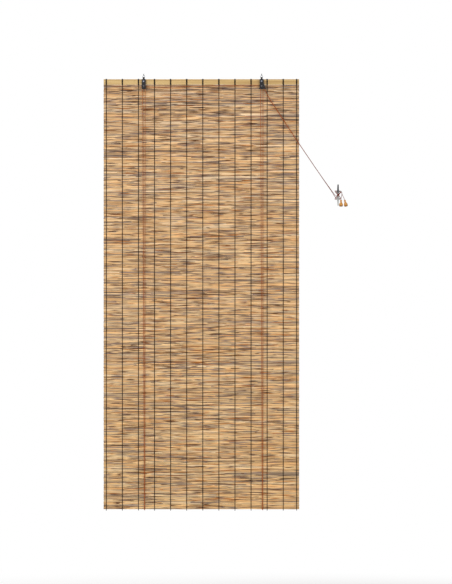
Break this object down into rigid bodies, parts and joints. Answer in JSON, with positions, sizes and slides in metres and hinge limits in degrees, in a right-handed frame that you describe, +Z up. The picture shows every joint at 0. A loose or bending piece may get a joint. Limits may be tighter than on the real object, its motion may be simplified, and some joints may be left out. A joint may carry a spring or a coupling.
{
  "type": "reed roll up blind",
  "caption": "Woven reed blind hanging fully lowered from two pulleys on screw eyes, with lift cords led to a wall cleat and wooden pulls.",
  "frame": {"origin": "midway between the two screw eyes, where their shanks enter the lintel", "axes": "+X along the blind's width to the right as seen from the front, +Y towards the wall, +Z up; the front faces -Y"},
  "size_m": [1.2486, 0.0395, 2.2355],
  "materials": {
    "reed": "matte dried reed stalks",
    "bamboo": "satin split bamboo",
    "yarn": "twisted cotton yarn",
    "black_metal": "black enamel on pressed steel",
    "bright_metal": "zinc plated",
    "wheel_nylon": "moulded nylon",
    "cord": "braided cord",
    "pull_wood": "varnished turned wood",
    "cleat_steel": "cast and brushed"
  },
  "bodies": {
    "blind": {"reed_mat": "reed", "head_batten": "bamboo", "warp_yarn_01": "yarn", "warp_yarn_02": "yarn", "warp_yarn_03": "yarn", "warp_yarn_04": "yarn", "warp_yarn_05": "yarn", "warp_yarn_06": "yarn", "warp_yarn_07": "yarn", "warp_yarn_08": "yarn", "warp_yarn_09": "yarn", "warp_yarn_10": "yarn", "warp_yarn_11": "yarn", "warp_yarn_12": "yarn", "warp_yarn_13": "yarn", "left_pulley_housing": "black_metal", "left_through_bolt": "bright_metal", "left_axle_rivet": "bright_metal", "left_spacer": "bright_metal", "left_rear_cord_guide": "wheel_nylon", "left_screw_eye": "bright_metal", "left_lift_cord": "cord", "left_cord_tail": "cord", "left_anchor_knot": "cord", "left_stop_knot": "cord", "left_wooden_pull": "pull_wood", "right_pulley_housing": "black_metal", "right_through_bolt": "bright_metal", "right_axle_rivet": "bright_metal", "right_spacer": "bright_metal", "right_rear_cord_guide": "wheel_nylon", "right_screw_eye": "bright_metal", "right_lift_cord": "cord", "right_cord_tail": "cord", "right_anchor_knot": "cord", "right_stop_knot": "cord", "right_wooden_pull": "pull_wood", "left_axle_washer": "bright_metal", "wall_cleat": "cleat_steel", "cord_winding": "cord"},
    "left_wheel": {"left_wheel": "wheel_nylon"},
    "right_rear_wheel": {"right_rear_wheel": "wheel_nylon"},
    "right_front_wheel": {"right_front_wheel": "wheel_nylon"},
    "lock_roller": {"lock_roller": "bright_metal"}
  },
  "joints": [
    {"name": "left_wheel_spin", "type": "hinge", "parent": "blind", "child": "left_wheel", "pos_m": [-0.3015, 0.0005, -0.0565], "axis": [0, 1, 0], "continuous": true},
    {"name": "right_rear_wheel_spin", "type": "hinge", "parent": "blind", "child": "right_rear_wheel", "pos_m": [0.3015, 0.0005, -0.0565], "axis": [0, 1, 0], "continuous": true},
    {"name": "right_front_wheel_spin", "type": "hinge", "parent": "blind", "child": "right_front_wheel", "pos_m": [0.3015, -0.0055, -0.0565], "axis": [0, 1, 0], "continuous": true},
    {"name": "lock_roller_slide", "type": "slide", "parent": "blind", "child": "lock_roller", "axis": [-0.4909, 0, 0.8712], "range_m": [0, 0.0045]}
  ]
}
